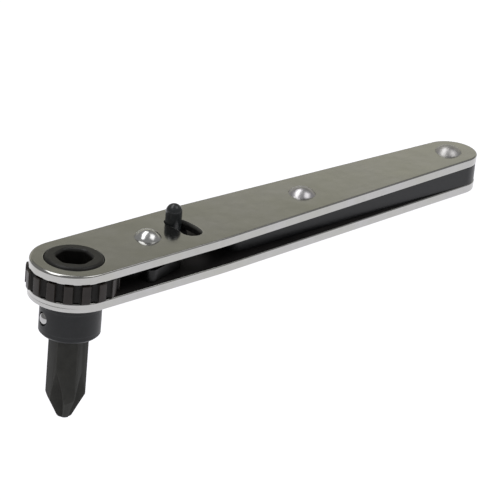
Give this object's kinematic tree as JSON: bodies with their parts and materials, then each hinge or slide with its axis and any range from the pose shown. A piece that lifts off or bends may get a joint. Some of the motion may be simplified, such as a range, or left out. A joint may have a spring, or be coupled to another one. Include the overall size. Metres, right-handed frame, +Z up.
{
  "type": "offset screwdriver",
  "caption": "Flat ratcheting offset screwdriver: riveted tapered plates hold a toothed hex socket with a cross-point insert bit, and a thumb pin reverses the pawl.",
  "frame": {"origin": "tip of the driver bit, on the drive axis", "axes": "+X from the head to the tail of the handle, +Z up the drive axis from the tip, +Y to the side that the thumb pin is thrown to"},
  "size_m": [0.1097, 0.017, 0.0353],
  "materials": {
    "plate_steel": "satin nickel",
    "rivet_steel": "polished",
    "spacer_black": "gloss",
    "gear_oxide": "black oxide",
    "bit_oxide": "black oxide",
    "lever_black": "satin black",
    "spring_steel": "bright"
  },
  "bodies": {
    "handle": {"top_plate": "plate_steel", "bottom_plate": "plate_steel", "handle_spacer": "spacer_black", "pivot_sleeve": "spring_steel", "pivot_rivet": "rivet_steel", "mid_rivet": "rivet_steel", "tail_rivet": "rivet_steel"},
    "drive": {"drive_gear": "gear_oxide", "detent_ball": "rivet_steel", "retaining_band": "bit_oxide"},
    "bit": {"driver_bit": "bit_oxide"},
    "pawl": {"pawl": "gear_oxide"},
    "lever": {"reversing_lever": "lever_black", "thumb_pin": "lever_black", "toggle_spring": "spring_steel"}
  },
  "joints": [
    {"name": "gear_spin", "type": "hinge", "parent": "handle", "child": "drive", "pos_m": [0, 0, 0.028], "axis": [0, 0, 1], "continuous": true},
    {"name": "bit_pull", "type": "slide", "parent": "drive", "child": "bit", "axis": [0, 0, -1], "range_m": [0, 0.008]},
    {"name": "lever_throw", "type": "hinge", "parent": "handle", "child": "lever", "pos_m": [0.01725, 0, 0.028], "axis": [0, 0, 1], "range_deg": [-35, 0], "deforming": ["toggle_spring"]},
    {"name": "pawl_click", "type": "hinge", "parent": "handle", "child": "pawl", "pos_m": [0.01725, 0, 0.028], "axis": [0, 0, 1], "range_deg": [-8.1, 8.1], "deforming": ["toggle_spring"]}
  ]
}
